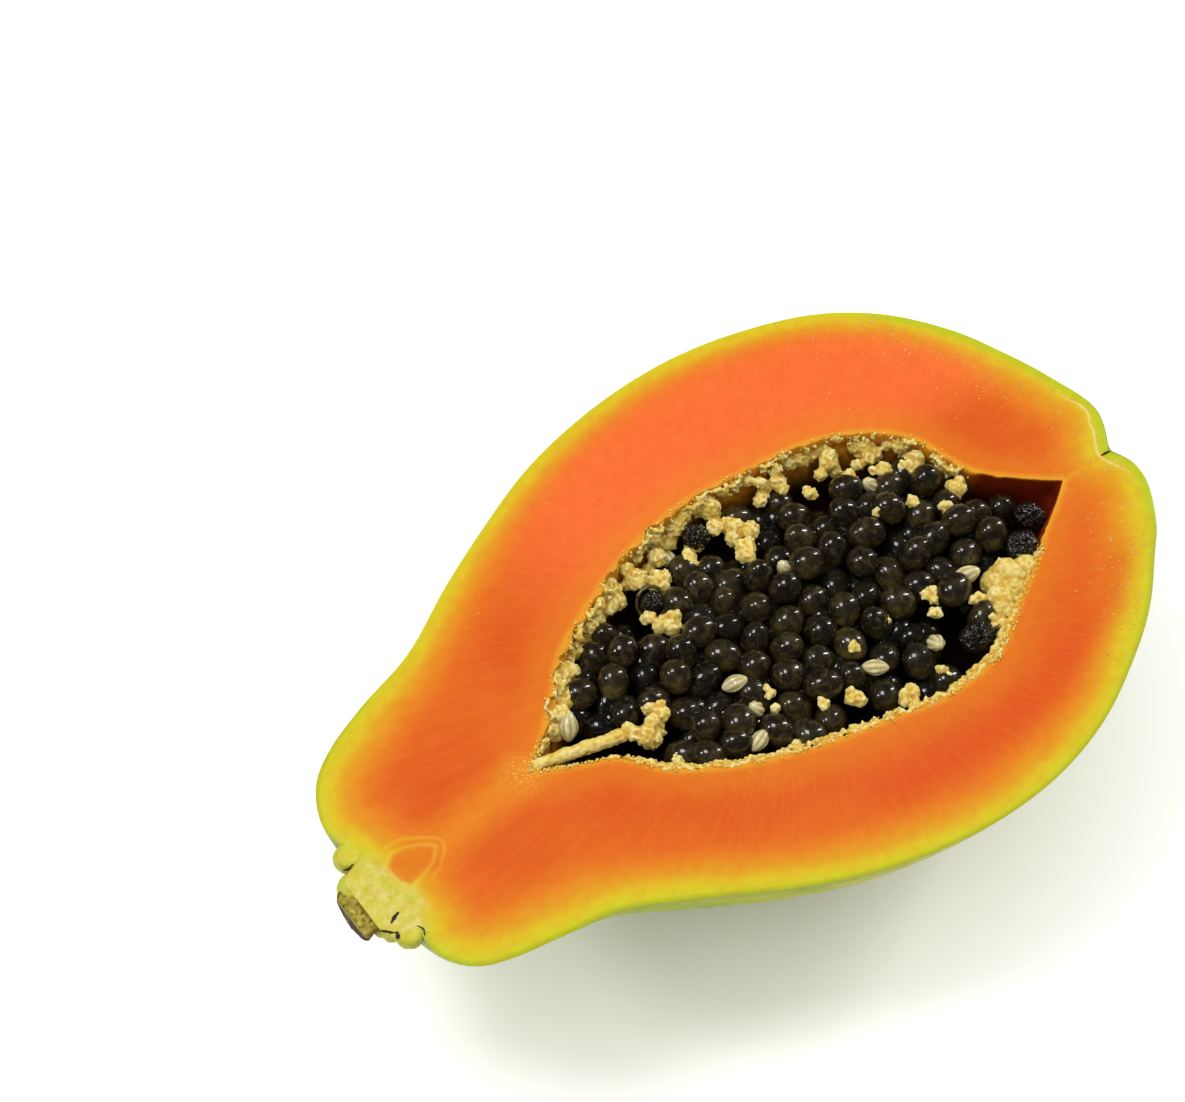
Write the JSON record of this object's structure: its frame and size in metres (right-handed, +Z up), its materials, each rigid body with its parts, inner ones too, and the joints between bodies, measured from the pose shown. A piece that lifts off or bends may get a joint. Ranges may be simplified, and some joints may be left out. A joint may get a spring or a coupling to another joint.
{
  "type": "papaya half",
  "caption": "Ripe papaya half, cut lengthwise and lying on its skin, with orange flesh and a cavity full of glossy black seeds and pale pulp.",
  "frame": {"origin": "middle of the bounding box's underside, at the level of the flat spot that the half rests on", "axes": "+X from the stem end to the blossom end, +Y to the far side of the cut face, +Z up out of the cut face"},
  "size_m": [0.1564, 0.1026, 0.0477],
  "materials": {
    "flesh": "satin",
    "seed_mass": "gloss",
    "stalk_scar": "matte"
  },
  "bodies": {
    "root": {"flesh": "flesh", "seed_mass": "seed_mass", "stalk_scar": "stalk_scar"}
  },
  "joints": []
}
